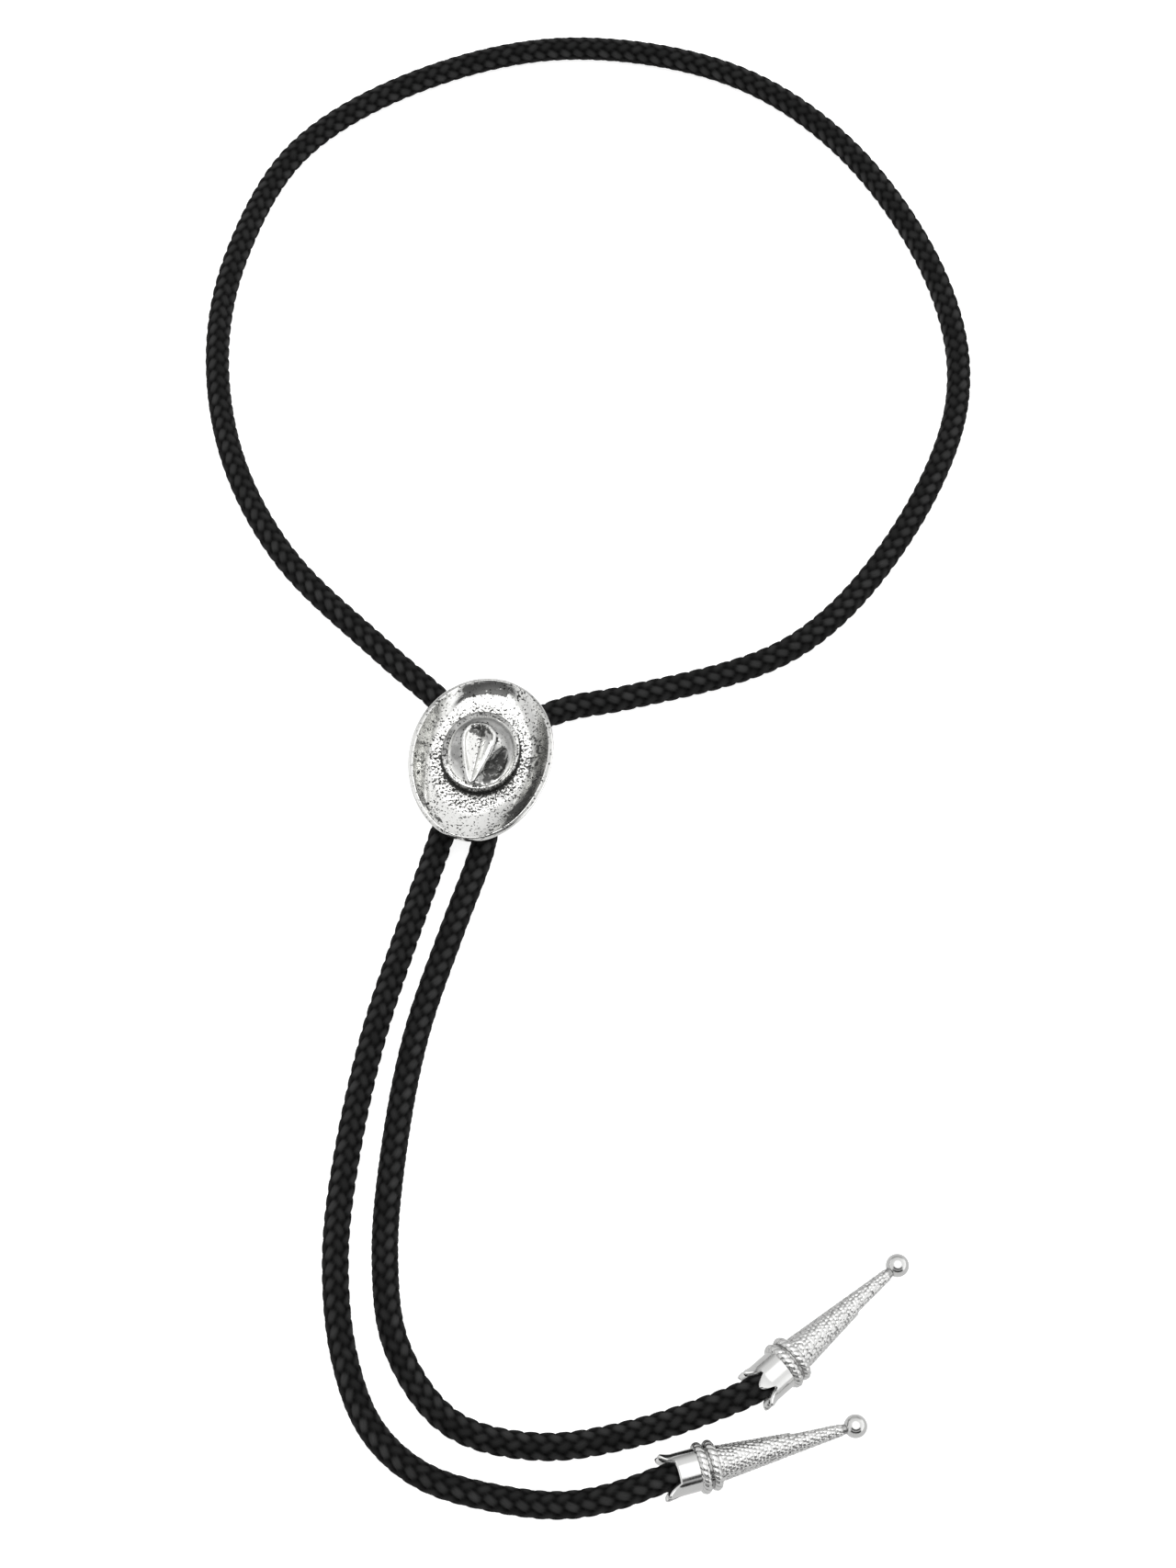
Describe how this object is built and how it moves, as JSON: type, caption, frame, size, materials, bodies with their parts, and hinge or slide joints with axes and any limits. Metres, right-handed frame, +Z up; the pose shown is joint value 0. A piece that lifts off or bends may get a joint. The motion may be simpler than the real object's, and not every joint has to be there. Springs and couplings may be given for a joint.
{
  "type": "bolo tie",
  "caption": "Bolo tie lying flat: a braided neck cord run through a cast hat-shaped slide, with a pronged, cone-shaped metal tip on each cord end.",
  "frame": {"origin": "on the surface that the tie lies on, at the flat underside of the clip, under the hat and within 1 mm of its middle", "axes": "+Z up; +Y away from the viewer, from the tips towards the neck loop; +X to the right"},
  "size_m": [0.1754, 0.3587, 0.0165],
  "materials": {
    "antique_silver": "polished cast silver plate with dark patina specks in the recesses",
    "clip_steel": "plain brushed steel",
    "braided_cord": "tightly braided black polyester, slight sheen",
    "silver_plate": "bright silver plate"
  },
  "bodies": {
    "root": {"hat_slide": "antique_silver", "cord_clip": "clip_steel", "cord": "braided_cord", "left_strand_tip": "silver_plate", "right_strand_tip": "silver_plate"}
  },
  "joints": []
}
